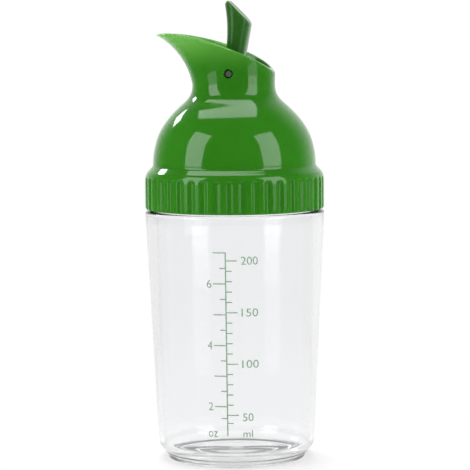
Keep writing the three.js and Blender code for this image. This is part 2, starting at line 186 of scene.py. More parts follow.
# Camera, worked out from the ellipses of foot, shoulder and band in the photograph
CAMERA_AZIMUTH = math.radians(7.4)
CAMERA_DISTANCE = 0.7332
CAMERA_HEIGHT = 0.1527
CAMERA_PITCH = math.radians(5.395)
CAMERA_ROLL = math.radians(-0.5)
CAMERA_LENS = 150.04
CAMERA_SENSOR = 36.0

# How bright the room on the camera's side is against the white backdrop, and where the one turns into
# the other, as a share of the way from square across to straight behind
ROOM_BRIGHTNESS = 0.12
BACKDROP_RANGE = (0.3, 1.0)

# What clear plastic shows to the sides, and where it turns white towards the front and the back
SIDE_BRIGHTNESS = 0.8
SIDE_RANGE = (0.3, 0.97)

# The room's light on matt surfaces
FILL_BRIGHTNESS = 0.22

# Floor: how much of its white shows beside the object, and how far out its reflection stays bright
FLOOR_HALF_WIDTH = 12.0
FLOOR_DROP = 0.0002
CONTACT_WHITE = 0.6
CONTACT_RANGE = (0.024, 0.10)
NEAR_FLOOR_WHITE = 0.95
NEAR_FLOOR_RANGE = (0.06, 0.4)

# Lamps stand at one distance round a point inside the lid
LAMP_DISTANCE = 0.9
LAMP_TARGET = Vector((0, 0, 0.11))

# Overhead panel: azimuth and steepness, in degrees, of the dome where it mirrors the left and right ends
# of the panel's front and back edges; then its height over the dome, the dome's height and its glow
TOP_PANEL_FRONT = ((-33.4, 41.3), (21.1, 42.5))
TOP_PANEL_BACK = ((-37.8, 47.0), (27.6, 52.5))
TOP_PANEL_STATIONS = 13
TOP_PANEL_RISE = 0.85
TOP_PANEL_BASE = 0.135
TOP_PANEL_GLOW = 3.5

# Heights between which the beak's colour is lightened by painted light: a tint that stands in for light
# shining through its thin tip
BACKLIGHT_PAINT_RANGE = (0.144, 0.1605)


def arc(centre_r, centre_z, radius, start, stop, steps):
    """Profile points along an arc, angles in degrees."""
    angles = np.radians(np.linspace(start, stop, steps + 1))
    return [(centre_r + radius * math.cos(a), centre_z + radius * math.sin(a)) for a in angles]


def bezier(points, steps):
    p = np.array(points, dtype=float)
    t = np.linspace(0, 1, steps)[:, None]
    return (1 - t) ** 3 * p[0] + 3 * (1 - t) ** 2 * t * p[1] + 3 * (1 - t) * t * t * p[2] + t ** 3 * p[3]


def circle(radius, z, sides, centre_x=0.0):
    angles = 2 * np.pi * np.arange(sides) / sides
    x = centre_x + radius * np.cos(angles)
    return np.stack([x, radius * np.sin(angles), np.full(sides, z)], axis=1)


def make_object(name, vertices, faces):
    mesh = bpy.data.meshes.new(name)
    mesh.from_pydata(np.asarray(vertices) * MM, [], faces)
    mesh.validate()
    mesh.shade_smooth()
    mesh.set_sharp_from_angle(angle=SMOOTH_ANGLE)
    piece = bpy.data.objects.new(name, mesh)
    bpy.context.scene.collection.objects.link(piece)
    return piece


def skin_faces(ring_count, sides, closed):
    """Quads between neighbouring rings, and from the last ring back to the first where closed."""
    faces = []
    for i in range(ring_count if closed else ring_count - 1):
        a = i * sides
        b = ((i + 1) % ring_count) * sides
        faces += [(a + j, a + (j + 1) % sides, b + (j + 1) % sides, b + j) for j in range(sides)]
    return faces


def skin_object(name, rings):
    """A closed body whose rings run round it and whose last ring joins the first."""
    sides = len(rings[0])
    return make_object(name, np.concatenate(rings), skin_faces(len(rings), sides, True))


def capped_object(name, rings, first_middle, last_middle):
    """A closed body whose first and last rings are fanned to a middle point each."""
    sides = len(rings[0])
    vertices = np.concatenate([*rings, [first_middle], [last_middle]])
    faces = skin_faces(len(rings), sides, False)
    first = len(rings) * sides
    last = (len(rings) - 1) * sides
    faces += [(first, (j + 1) % sides, j) for j in range(sides)]
    faces += [(first + 1, last + j, last + (j + 1) % sides) for j in range(sides)]
    return make_object(name, vertices, faces)


def lathe_object(name, profile, sides, centre_x=0.0):
    """A solid turned about an upright axis from a profile that starts and ends on it."""
    rings = [circle(r, z, sides, centre_x) for r, z in profile[1:-1]]
    return capped_object(name, rings, (centre_x, 0, profile[0][1]), (centre_x, 0, profile[-1][1]))


# Screw threads, laid into the rings of a wall

def thread_profile(offset):
    """Share of the ridge's height at a distance above or below its middle."""
    half_root = THREAD_ROOT / 2
    half_crest = THREAD_CREST / 2
    share = (half_root - np.abs(offset)) / (half_root - half_crest)
    share = np.clip(share, 0, 1)
    return share * share * (3 - 2 * share)


def thread_relief(angles, z, middle_z, sweep):
    """How far the ridges stand out of the wall, for every angle at one height."""
    relief = np.zeros_like(angles)
    lowest = middle_z - THREAD_LEAD * sweep / (4 * math.pi)
    for start in range(THREAD_STARTS):
        turned = np.mod(angles - start * 2 * math.pi / THREAD_STARTS, 2 * math.pi)
        run_out = np.clip(np.minimum(turned, sweep - turned) / math.radians(18), 0, 1)
        ridge = thread_profile(z - lowest - THREAD_LEAD * turned / (2 * math.pi))
        relief = np.maximum(relief, THREAD_HEIGHT * ridge * run_out)
    return relief


def threaded_rings(radius, bottom, top, rows, middle_z, sweep, sides, outward):
    angles = 2 * np.pi * np.arange(sides) / sides
    rings = []
    for z in np.linspace(bottom, top, rows):
        r = radius + outward * thread_relief(angles, z, middle_z, sweep)
        rings.append(np.stack([r * np.cos(angles), r * np.sin(angles), np.full(sides, z)], axis=1))
    return rings


# Bottle

def outer_wall_radius(z):
    share = (z - CHAMFER_TOP) / (SHOULDER_Z - CHAMFER_TOP)
    return BODY_BOTTOM_RADIUS + share * (BODY_TOP_RADIUS - BODY_BOTTOM_RADIUS)


def bottle_rings():
    sides = BOTTLE_SIDES
    corner_r = BODY_TOP_RADIUS - SHOULDER_ROUNDING
    corner_z = SHOULDER_Z - SHOULDER_ROUNDING
    foot_inner = FOOT_RADIUS - FOOT_RING_WIDTH
    below = [
        (0, FOOT_RECESS + 0.15),
        (GATE_RADIUS, FOOT_RECESS + 0.15),
        (GATE_RADIUS + 0.4, FOOT_RECESS),
        (foot_inner - 0.3, FOOT_RECESS),
        *arc(foot_inner + 0.5, 0.35, 0.35, 180, 270, 4),
        *arc(FOOT_RADIUS - 0.3, 0.3, 0.3, -90, 0, 4),
        (FOOT_RADIUS, FOOT_HEIGHT - 0.1),
        (FOOT_RADIUS + 0.15, FOOT_HEIGHT + 0.1),
    ]
    chamfer = bezier([
        (FOOT_RADIUS + 0.35, FOOT_HEIGHT + 0.25),
        (FOOT_RADIUS + 1.9, FOOT_HEIGHT + 1.7),
        (BODY_BOTTOM_RADIUS - 0.35, CHAMFER_TOP - 2.0),
        (BODY_BOTTOM_RADIUS + 0.05, CHAMFER_TOP + 0.6),
    ], 12)
    wall = [(outer_wall_radius(z), z) for z in np.linspace(CHAMFER_TOP + 1.2, corner_z - 0.3, 14)]
    shoulder = [
        *arc(corner_r, corner_z, SHOULDER_ROUNDING, 6, 90, 7),
        *arc(NECK_OUTER_RADIUS + 0.4, SHOULDER_Z + 0.4, 0.4, 270, 180, 4),
    ]
    middle = SHOULDER_Z + NECK_HEIGHT / 2
    neck = threaded_rings(NECK_OUTER_RADIUS, SHOULDER_Z + 0.7, NECK_TOP - 0.7, 34,
                          middle, BOTTLE_THREAD_SWEEP, sides, 1)
    lip = [
        *arc(NECK_OUTER_RADIUS - RIM_ROUNDING, NECK_TOP - RIM_ROUNDING, RIM_ROUNDING, 0, 90, 4),
        *arc(NECK_INNER_RADIUS + RIM_ROUNDING, NECK_TOP - RIM_ROUNDING, RIM_ROUNDING, 90, 180, 4),
    ]
    inner_bottom_z = FLOOR_THICKNESS + INNER_CORNER
    inner = [
        (NECK_INNER_RADIUS + share * (INNER_BOTTOM_RADIUS - NECK_INNER_RADIUS),
         SHOULDER_Z + share * (inner_bottom_z - SHOULDER_Z))
        for share in np.linspace(0, 0.97, 12)
    ]
    gate_z = FLOOR_THICKNESS - GATE_DEPTH
    floor = [
        *arc(INNER_BOTTOM_RADIUS - INNER_CORNER, inner_bottom_z, INNER_CORNER, 0, -90, 10),
        (GATE_RADIUS + 1.0, FLOOR_THICKNESS),
        *bezier([(GATE_RADIUS + 0.7, FLOOR_THICKNESS), (GATE_RADIUS + 0.3, FLOOR_THICKNESS),
                 (GATE_RADIUS + 0.2, gate_z), (GATE_RADIUS - 0.3, gate_z)], 5),
        (0, gate_z),
    ]
    turned = [circle(r, z, sides) for r, z in [*below[1:], *chamfer, *wall, *shoulder]]
    turned += neck
    turned += [circle(r, z, sides) for r, z in [*lip, *inner, *floor[:-1]]]
    return turned, below[0][1], floor[-1][1]


def build_bottle():
    rings, bottom_z, floor_z = bottle_rings()
    return capped_object("bottle_clear", rings, (0, 0, bottom_z), (0, 0, floor_z))


# Printed scale

def on_wall(points):
    """Wraps points of distance along the wall, height and distance off it round the bottle."""
    along, z, off = np.asarray(points, dtype=float).T
    wall = outer_wall_radius(z)
    azimuth = LINE_AZIMUTH + along / wall
    radius = wall + PRINT_GAP + off
    return np.stack([radius * np.sin(azimuth), -radius * np.cos(azimuth), z], axis=1)


def printed_bar(left, right, low, high):
    """A thin bar, in short pieces along the wall so that it follows the round."""
    columns = max(2, int((right - left) / 0.5) + 2)
    rings = []
    for along in np.linspace(left, right, columns):
        corners = ((low, 0), (high, 0), (high, PRINT_THICKNESS), (low, PRINT_THICKNESS))
        rings += [(along, z, off) for z, off in corners]
    faces = []
    for i in range(columns - 1):
        a = 4 * i
        faces += [(a + j, a + (j + 1) % 4, a + 4 + (j + 1) % 4, a + 4 + j) for j in range(4)]
    last = 4 * (columns - 1)
    faces += [(3, 2, 1, 0), (last, last + 1, last + 2, last + 3)]
    return on_wall(rings), faces


def printed_text(text, left, right, middle, height):
    """Letters or numbers that fill the width between left and right."""
    curve = bpy.data.curves.new("lettering", "FONT")
    curve.body = text
    curve.extrude = 0.5
    curve.resolution_u = 6
    source = bpy.data.objects.new("lettering", curve)
    bpy.context.scene.collection.objects.link(source)
    mesh = bpy.data.meshes.new_from_object(source)
    points = np.array([vertex.co for vertex in mesh.vertices])
    faces = [tuple(polygon.vertices) for polygon in mesh.polygons]
    bpy.data.objects.remove(source)
    bpy.data.curves.remove(curve)
    bpy.data.meshes.remove(mesh)
    low = points.min(axis=0)
    share = (points - low) / (points.max(axis=0) - low)
    size = np.array([right - left, height, PRINT_THICKNESS])
    return on_wall(np.array([left, middle - height / 2, 0]) + share * size), faces


def build_scale():
    half_line = LINE_WIDTH / 2
    half_tick = TICK_WIDTH / 2
    parts = [printed_bar(-half_line, half_line, LINE_BOTTOM, LINE_TOP + half_tick)]
    for amount in range(40, 201, 10):
        z = np.interp(amount, *MILLILITRE_HEIGHTS)
        length = SHORT_TICK_RIGHT if amount % 50 else LONG_TICK_RIGHT
        parts.append(printed_bar(half_line, length, z - half_tick, z + half_tick))
    for halves in range(3, 15):
        z = np.interp(halves / 2, *OUNCE_HEIGHTS)
        length = SHORT_TICK_LEFT if halves % 2 else LONG_TICK_LEFT
        parts.append(printed_bar(-length, -half_line, z - half_tick, z + half_tick))
    for amount, width, drop in ((50, 3.9, 0.8), (100, 6.1, 0.0), (150, 6.1, 0.0), (200, 6.2, 0.0)):
        z = np.interp(amount, *MILLILITRE_HEIGHTS)
        parts.append(printed_text(str(amount), 5.6, 5.6 + width, z - drop, DIGIT_HEIGHT))
    for amount in (2, 4, 6):
        z = np.interp(amount, *OUNCE_HEIGHTS)
        parts.append(printed_text(str(amount), -7.0, -5.2, z, DIGIT_HEIGHT))
    parts.append(printed_text("oz", -7.1, -3.7, 13.3, UNIT_HEIGHT))
    parts.append(printed_text("ml", 5.7, 9.2, 13.5, 1.15 * UNIT_HEIGHT))
    vertices = []
    faces = []
    for points, polygons in parts:
        faces += [tuple(index + len(vertices) for index in polygon) for polygon in polygons]
        vertices += list(points)
    return make_object("printed_scale", vertices, faces)


# Lid

def fluted_ring(profile_radius, z):
    """A ring of the band, with the flutes scooped out of it and arched at their tops."""
    angles = 2 * np.pi * np.arange(LID_SIDES) / LID_SIDES
    pitch = 2 * np.pi / FLUTE_COUNT
    from_centre = np.mod(angles, pitch) - pitch / 2
    cutter = BAND_RADIUS - FLUTE_DEPTH + FLUTE_RADIUS
    above = max(0.0, z - (FLUTE_TOP - FLUTE_RADIUS))
    room = FLUTE_RADIUS ** 2 - above ** 2 - (cutter * np.sin(from_centre)) ** 2
    scooped = cutter * np.cos(from_centre) - np.sqrt(np.maximum(room, 0))
    softness = 0.05
    blend = np.sqrt((profile_radius - scooped) ** 2 + softness ** 2)
    radius = (profile_radius + scooped - blend) / 2 + softness / 2
    radius = np.where(room > 0, np.minimum(radius, profile_radius), profile_radius)
    return np.stack([radius * np.cos(angles), radius * np.sin(angles), np.full(LID_SIDES, z)], axis=1)


def dome_points(steps):
    """The dome's outer curve from the crease to the neck, with steps points to each of its three bends."""
    parts = [
        [(CREASE_RADIUS, CREASE_Z), (CREASE_RADIUS, 113.2), (29.9, 116.4),
         (DOME_SHOULDER_RADIUS, DOME_SHOULDER_Z)],
        [(DOME_SHOULDER_RADIUS, DOME_SHOULDER_Z), (27.6, 124.2), (23.8, 128.8), (19.4, 132.6)],
        [(19.4, 132.6), (16.9, 134.75), (NECK_RADIUS, 136.3), (NECK_RADIUS, BEAK_BASE_Z + 1)],
    ]
    curve = np.concatenate([bezier(part, steps)[:-1] for part in parts])
    return np.concatenate([curve, [[NECK_RADIUS, BEAK_BASE_Z + 1]]])


def inset_curve(points, distance):
    before = np.roll(points, 1, axis=0)
    after = np.roll(points, -1, axis=0)
    before[0] = points[0]
    after[-1] = points[-1]
    along = after - before
    along /= np.linalg.norm(along, axis=1)[:, None]
    return points + distance * np.stack([-along[:, 1], along[:, 0]], axis=1)


UNDERSIDE = bezier([(-NECK_RADIUS, BEAK_BASE_Z), (-NECK_RADIUS, 143.5), (-19.7, 153.7),
                    (-BEAK_TIP_REACH, BEAK_TIP_Z)], 400)
RIM = bezier([(-BEAK_TIP_REACH, BEAK_TIP_Z), (-19.6, 161.5), (10.1, 151.7),
              (RIM_BACK_REACH, RIM_BACK_Z)], 400)


def front_reach(z):
    return -np.interp(z, UNDERSIDE[:, 1], UNDERSIDE[:, 0])


def rim_height(x):
    return np.interp(x, RIM[:, 0], RIM[:, 1])


def beak_points(angles, z, inset):
    """Points of the beak's wall at these angles and heights; inset moves them in from the outer face."""
    reach = front_reach(z)
    lean = front_reach(z + 0.5) - front_reach(z - 0.5)
    front_inset = inset * np.minimum(FRONT_WALL_SLANT, np.hypot(1, lean))
    stretch = np.clip((reach - NECK_RADIUS) / (BEAK_TIP_REACH - NECK_RADIUS), 0, 1)
    cosine = np.cos(angles)
    sine = np.sin(angles)
    back = cosine > 0
    rim_rise = RIM_BACK_Z - BEAK_BASE_Z
    lip = BACK_LIP_FLARE * np.maximum(0, z - BEAK_BASE_Z - 0.4 * rim_rise) * cosine ** 4
    x = np.where(back, (NECK_RADIUS - inset + lip) * cosine, (reach - front_inset) * cosine)
    power = np.where(back, 1.0, 1 + (BEAK_POINTEDNESS - 1) * stretch)
    half_width = NECK_RADIUS + SIDE_FLARE * np.maximum(0, z - BEAK_BASE_Z - 0.8 * rim_rise) ** 2
    y = np.sign(sine) * (half_width - inset) * np.abs(sine) ** power
    return np.stack([x, y, z + np.zeros_like(x)], axis=1)


def rim_points(angles, inset):
    low = np.full(angles.shape, BEAK_BASE_Z)
    high = np.full(angles.shape, BEAK_TIP_Z + 2)
    for _ in range(40):
        middle = (low + high) / 2
        inside = rim_height(beak_points(angles, middle, inset)[:, 0]) > middle
        low = np.where(inside, middle, low)
        high = np.where(inside, high, middle)
    return beak_points(angles, low, inset)


def beak_rings():
    """Rings up the outside of the neck and beak, over the rounded rim and down the inside."""
    angles = 2 * np.pi * np.arange(LID_SIDES) / LID_SIDES
    bulge = 0.35 * BEAK_WALL
    outer_top = rim_points(angles, 0.0) - [0, 0, bulge]
    inner_top = rim_points(angles, BEAK_WALL) - [0, 0, bulge]
    base = BEAK_BASE_Z + 1
    rings = [
        beak_points(angles, base + (outer_top[:, 2] - base) * share, 0.0)
        for share in np.linspace(0, 1, 22)[1:]
    ]
    for turned in np.linspace(0, np.pi, 9)[1:-1]:
        share = (1 - math.cos(turned)) / 2
        ring = outer_top + share * (inner_top - outer_top)
        ring[:, 2] += bulge * math.sin(turned)
        rings.append(ring)
    low = PARTITION_TOP + 0.6
    rings += [
        beak_points(angles, inner_top[:, 2] + (low - inner_top[:, 2]) * share, BEAK_WALL)
        for share in np.linspace(0, 1, 14)
    ]
    return rings


def lid_rings():
    sides = LID_SIDES
    edge_r = BAND_RADIUS - BAND_EDGE
    edge_z = BAND_BOTTOM + BAND_EDGE
    band = [
        *arc(edge_r, edge_z, BAND_EDGE, -90, 0, 6),
        *[(BAND_RADIUS, z) for z in np.linspace(edge_z + 0.5, BAND_TOP - 0.8, 8)],
    ]
    shoulder = bezier([(BAND_RADIUS, BAND_TOP - 0.4), (BAND_RADIUS, BAND_TOP + 1.7),
                       (BAND_RADIUS - 0.4, BAND_TOP + 2.9), (BAND_RADIUS - 1.3, BAND_TOP + 3.8)], 22)
    slope = [(BAND_RADIUS - 1.3 + share * (CREASE_RADIUS + 0.45 - BAND_RADIUS + 1.3),
              BAND_TOP + 3.8 + share * (CREASE_Z - 0.5 - BAND_TOP - 3.8)) for share in (0.35, 0.7)]
    crease = bezier([(CREASE_RADIUS + 0.45, CREASE_Z - 0.5), (CREASE_RADIUS + 0.1, CREASE_Z - 0.15),
                     (CREASE_RADIUS, CREASE_Z), (CREASE_RADIUS - 0.01, CREASE_Z + 0.5)], 6)
    dome = dome_points(12)
    rings = [circle(BAND_INNER_RADIUS + 0.25, BAND_BOTTOM, sides)]
    rings += [fluted_ring(r, z) for r, z in band]
    rings += [fluted_ring(r, z) for r, z in [*shoulder, *slope]]
    rings += [circle(r, z, sides) for r, z in [*crease, *dome[1:]]]
    rings += beak_rings()
    inner = NECK_RADIUS - BEAK_WALL
    rings += [circle(inner - 0.6 + 0.6 * math.cos(a), PARTITION_TOP + 0.6 - 0.6 * math.sin(a), sides)
              for a in np.radians((30, 60, 90))]
    hole_x = -POUR_HOLE_OFFSET
    seat = POUR_HOLE_RADIUS + SEAT_WIDTH
    for r, z in [(seat + 0.2, PARTITION_TOP), (seat, PARTITION_TOP + 0.2), (seat, SEAT_TOP - 0.2),
                 (seat - 0.2, SEAT_TOP), (POUR_HOLE_RADIUS + 0.2, SEAT_TOP),
                 (POUR_HOLE_RADIUS, SEAT_TOP - 0.2),
                 (POUR_HOLE_RADIUS, PARTITION_TOP - PARTITION_THICKNESS)]:
        rings.append(circle(r, z, sides, hole_x))
    inside = inset_curve(dome_points(8), LID_WALL)
    underside = PARTITION_TOP - PARTITION_THICKNESS
    keep = (inside[:, 1] < underside) & (inside[:, 1] > CREASE_Z)
    inside = inside[keep][::-1]
    rings.append(circle(inside[0][0] - 1.2, underside, sides))
    rings += [circle(r, z, sides) for r, z in inside]
    rings += [circle(r, z, sides) for r, z in [(CEILING_RADIUS, CREASE_Z - 1),
                                               (CEILING_RADIUS, CEILING_Z + 0.2),
                                               (CEILING_RADIUS + 0.2, CEILING_Z),
                                               (BAND_INNER_RADIUS, CEILING_Z)]]
    middle = SHOULDER_Z + NECK_HEIGHT / 2 - THREAD_LEAD / (2 * THREAD_STARTS)
    walls = threaded_rings(BAND_INNER_RADIUS, BAND_BOTTOM + 0.25, CEILING_Z - 0.3, 30,
                           middle, LID_THREAD_SWEEP, sides, -1)
    rings += walls[::-1]
    return rings


def combine(piece, other, operation):
    """Joins the other body to the piece or cuts it out, for good, and deletes it."""
    modifier = piece.modifiers.new("combine", "BOOLEAN")
    modifier.object = other
    modifier.operation = operation
    modifier.solver = "EXACT"
    bpy.context.view_layer.objects.active = piece
    bpy.ops.object.modifier_apply(modifier=modifier.name)
    bpy.data.objects.remove(other)


def smooth(piece):
    piece.data.shade_smooth()
    piece.data.set_sharp_from_angle(angle=SMOOTH_ANGLE)


def cross_rod(name, profile):
    """A turned body along Y at the pin's height; the profile gives radius and place on that axis."""
    rod = lathe_object(name, [(0, profile[0][1]), *profile, (0, profile[-1][1])], 48)
    turn = rod.data
    for vertex in turn.vertices:
        x, y, z = vertex.co
        vertex.co = (x, z, PIN_Z * MM - y)
    turn.update()
    return rod


def build_lid():
    lid = skin_object("lid_green", lid_rings())
    reach = NECK_RADIUS + 2
    flare = 0.35
    mouth = NECK_RADIUS - 0.1
    rod = cross_rod("pin_hole_cutter", [
        (PIN_HOLE_RADIUS + 2 + flare, -reach), (PIN_HOLE_RADIUS, -mouth + flare),
        (PIN_HOLE_RADIUS, mouth - flare), (PIN_HOLE_RADIUS + 2 + flare, reach)])
    combine(lid, rod, "DIFFERENCE")
    smooth(lid)
    return lid


# Lever, plug, pin and seal ring

def stalk_points(angles, share, scale):
    """Points of the stalk's rounded section; share runs from the hub to the tip, and scale shrinks it."""
    low = (share - STALK_WAIST_SHARE) / STALK_WAIST_SHARE
    high = (share - STALK_WAIST_SHARE) / (1 - STALK_WAIST_SHARE)
    below = share < STALK_WAIST_SHARE
    away = np.where(below, low, high)
    end_front = np.where(below, STALK_FRONT_AT_HUB, STALK_FRONT_AT_TOP)
    front = -STALK_FRONT_AT_WAIST - (end_front - STALK_FRONT_AT_WAIST) * away ** 2
    back = STALK_BACK_AT_HUB + STALK_BACK_GROWTH * share * STALK_HEIGHT

    def squared(value):
        return np.sign(value) * np.abs(value) ** (2 / STALK_SQUARENESS)

    x = (front + back) / 2 + scale * squared(np.cos(angles)) * (back - front) / 2
    y = scale * squared(np.sin(angles)) * STALK_WIDTH / 2
    return np.stack([x, y, PIN_Z + share * STALK_HEIGHT], axis=1)


def thumb_face_height(x):
    past = x - THUMB_FACE_START
    fall = np.where(past > 0, THUMB_FACE_SLOPE * past, THUMB_FACE_ROLL * past ** 2)
    return PIN_Z + STALK_HEIGHT - fall


def build_stalk():
    angles = 2 * np.pi * np.arange(STALK_SIDES) / STALK_SIDES
    top = np.ones(STALK_SIDES)
    for _ in range(20):
        x = stalk_points(angles, top, 1.0)[:, 0]
        top = (thumb_face_height(x) - THUMB_FACE_EDGE - PIN_Z) / STALK_HEIGHT
    rings = [stalk_points(angles, top * share, 1.0) for share in np.linspace(0, 1, 26)]
    edge = 2 * THUMB_FACE_EDGE / STALK_WIDTH
    face = [(1 - edge * (1 - math.cos(a)), THUMB_FACE_EDGE * (1 - math.sin(a)))
            for a in np.linspace(0, math.pi / 2, 8)[1:]]
    for share in np.linspace(0, 1, 8)[1:]:
        scale = 1 - edge + share * (THUMB_DISH_SHARE - 1 + edge)
        face.append((scale, THUMB_DISH * (1 - math.cos(math.pi * share)) / 2))
    face += [(0.25, THUMB_DISH), (0.1, THUMB_DISH)]
    for scale, drop in face:
        ring = stalk_points(angles, top, scale)
        ring[:, 2] = thumb_face_height(ring[:, 0]) - drop
        rings.append(ring)
    return capped_object("lever_green", rings, rings[0].mean(axis=0), rings[-1].mean(axis=0))


def build_lever():
    lever = build_stalk()
    half_hub = NECK_RADIUS - BEAK_WALL - HUB_SIDE_GAP
    hub = cross_rod("hub", [(HUB_RADIUS - 0.3, -half_hub), (HUB_RADIUS, 0.3 - half_hub),
                            (HUB_RADIUS, half_hub - 0.3), (HUB_RADIUS - 0.3, half_hub)])
    combine(lever, hub, "UNION")
    rim = CARRIER_RADIUS
    edge = 0.25
    tongue_rings = []
    bow = np.radians(np.linspace(90, 270, 49))
    for inset, z in ((edge, CARRIER_BOTTOM), (0, CARRIER_BOTTOM + edge),
                     (0, CARRIER_TOP - edge), (edge, CARRIER_TOP)):
        reach = rim - inset
        nose = [(-POUR_HOLE_OFFSET + reach * math.cos(a), reach * math.sin(a), z) for a in bow]
        tongue_rings.append(np.array(nose + [(0, -reach, z), (0, reach, z)]))
    middle_x = -POUR_HOLE_OFFSET / 2
    tongue = capped_object("tongue", tongue_rings, (middle_x, 0, CARRIER_BOTTOM), (middle_x, 0, CARRIER_TOP))
    combine(lever, tongue, "UNION")
    stem_hole = PLUG_STEM_RADIUS + SEAL_GAP
    button_room = PLUG_BUTTON_RADIUS + SEAL_GAP
    for name, radius, low, high in (("stem_hole", stem_hole, CARRIER_BOTTOM - 0.5, CARRIER_TOP + 0.5),
                                    ("button_room", button_room, CARRIER_TOP, PIN_Z + HUB_RADIUS)):
        profile = [(0, low), (radius, low), (radius, high), (0, high)]
        hole = lathe_object(name, profile, SMALL_SIDES, -POUR_HOLE_OFFSET)
        combine(lever, hole, "DIFFERENCE")
    bore = cross_rod("bore", [(PIN_HOLE_RADIUS, -NECK_RADIUS), (PIN_HOLE_RADIUS, NECK_RADIUS)])
    combine(lever, bore, "DIFFERENCE")
    smooth(lever)
    return lever


def build_plug():
    nose = PLUG_BOTTOM - PLUG_NOSE
    top = BUTTON_BOTTOM + PLUG_BUTTON_HEIGHT
    edge = 0.25
    return lathe_object("plug_silicone", [
        (0, nose),
        (POUR_HOLE_RADIUS - 3 * PLUG_NOSE, nose),
        (POUR_HOLE_RADIUS - PLUG_NOSE, PLUG_BOTTOM),
        *arc(PLUG_RADIUS - edge, PLUG_BOTTOM + edge, edge, -90, 0, 4),
        *arc(PLUG_RADIUS - edge, PLUG_TOP - edge, edge, 0, 90, 4),
        (PLUG_STEM_RADIUS, PLUG_TOP),
        (PLUG_STEM_RADIUS, BUTTON_BOTTOM),
        (PLUG_BUTTON_RADIUS - edge, BUTTON_BOTTOM),
        (PLUG_BUTTON_RADIUS, BUTTON_BOTTOM + edge),
        *arc(0.8 * PLUG_BUTTON_RADIUS - edge, top - edge, edge, 20, 90, 4),
        (0, top),
    ], SMALL_SIDES, -POUR_HOLE_OFFSET)


def build_pin():
    half = NECK_RADIUS - PIN_INSET
    edge = 0.22
    return cross_rod("pin_steel", [(PIN_RADIUS - edge, -half), (PIN_RADIUS, edge - half),
                                   (PIN_RADIUS, half - edge), (PIN_RADIUS - edge, half)])


def build_seal_ring():
    inner = NECK_INNER_RADIUS - RIM_ROUNDING
    outer = BAND_INNER_RADIUS - SEAL_GAP
    bottom = NECK_TOP + SEAL_GAP
    top = bottom + SEAL_THICKNESS
    edge = 0.3
    profile = [
        *arc(inner + edge, bottom + edge, edge, 180, 270, 4),
        *arc(outer - edge, bottom + edge, edge, 270, 360, 4),
        *arc(outer - edge, top - edge, edge, 0, 90, 4),
        *arc(inner + edge, top - edge, edge, 90, 180, 4),
    ]
    return skin_object("seal_silicone", [circle(r, z, BOTTLE_SIDES) for r, z in profile])


# Materials

def new_material(name):
    material = bpy.data.materials.new(name)
    material.use_nodes = True
    tree = material.node_tree
    return material, tree, tree.nodes["Principled BSDF"]


def add_bump(tree, shader, height, distance, strength):
    bump = tree.nodes.new("ShaderNodeBump")
    bump.inputs["Distance"].default_value = distance
    bump.inputs["Strength"].default_value = strength
    tree.links.new(height, bump.inputs["Height"])
    tree.links.new(bump.outputs["Normal"], shader.inputs["Normal"])


def noise(tree, scale, detail=3.0):
    place = tree.nodes.new("ShaderNodeTexCoord")
    node = tree.nodes.new("ShaderNodeTexNoise")
    node.inputs["Scale"].default_value = scale
    node.inputs["Detail"].default_value = detail
    tree.links.new(place.outputs["Object"], node.inputs["Vector"])
    return node.outputs["Fac"]


def ramp(tree, factor, low, high, start=0.3, stop=0.7):
    node = tree.nodes.new("ShaderNodeValToRGB")
    node.color_ramp.elements[0].position = start
    node.color_ramp.elements[1].position = stop
    node.color_ramp.elements[0].color = (*low, 1)
    node.color_ramp.elements[1].color = (*high, 1)
    tree.links.new(factor, node.inputs["Fac"])
    return node.outputs["Color"]


def smooth_range(tree, value, start, stop, low, high):
    node = tree.nodes.new("ShaderNodeMapRange")
    node.interpolation_type = "SMOOTHSTEP"
    for name, number in (("From Min", start), ("From Max", stop), ("To Min", low), ("To Max", high)):
        node.inputs[name].default_value = number
    tree.links.new(value, node.inputs["Value"])
    return node.outputs[0]


def lighten_beak(tree, colour, thin):
    """Paints light towards the beak's tip: turns the colour into the thin one, a painted glow that stands in
    for light coming through the wall.
    """
    place = tree.nodes.new("ShaderNodeTexCoord")
    parts = tree.nodes.new("ShaderNodeSeparateXYZ")
    tree.links.new(place.outputs["Object"], parts.inputs[0])
    share = smooth_range(tree, parts.outputs["Z"], *BACKLIGHT_PAINT_RANGE, 0.0, 1.0)
    node = tree.nodes.new("ShaderNodeMix")
    node.data_type = "RGBA"
    tree.links.new(share, node.inputs[0])
    tree.links.new(colour, node.inputs[6])
    node.inputs[7].default_value = (*thin, 1)
    return node.outputs[2]


def gloss_plastic(name, low, high, roughness, gloss=0.5, thin=None):
    """Moulded gloss plastic: faint flow marks in the colour and a skin that is not quite flat; with thin
    given, a painted glow towards the beak's tip stands in for light through the wall.
    """
    material, tree, shader = new_material(name)
    colour = ramp(tree, noise(tree, 60.0), low, high)
    if thin is not None:
        colour = lighten_beak(tree, colour, thin)
    tree.links.new(colour, shader.inputs["Base Color"])
    shader.inputs["Roughness"].default_value = roughness
    shader.inputs["IOR"].default_value = 1.52
    shader.inputs["Specular IOR Level"].default_value = gloss
    shader.inputs["Subsurface Weight"].default_value = 0.25
    shader.inputs["Subsurface Radius"].default_value = (0.4, 1.0, 0.2)
    shader.inputs["Subsurface Scale"].default_value = 0.004
    add_bump(tree, shader, noise(tree, 180.0, 1.0), 0.00002, 0.25)
    return material


def clear_plastic():
    material, tree, shader = new_material("clear_plastic")
    shader.inputs["Base Color"].default_value = (0.936, 0.939, 0.944, 1)
    shader.inputs["Roughness"].default_value = 0.03
    shader.inputs["IOR"].default_value = 1.49
    shader.inputs["Specular IOR Level"].default_value = 0.4
    shader.inputs["Transmission Weight"].default_value = 1.0
    add_bump(tree, shader, noise(tree, 40.0, 1.0), 0.00001, 0.1)
    return material


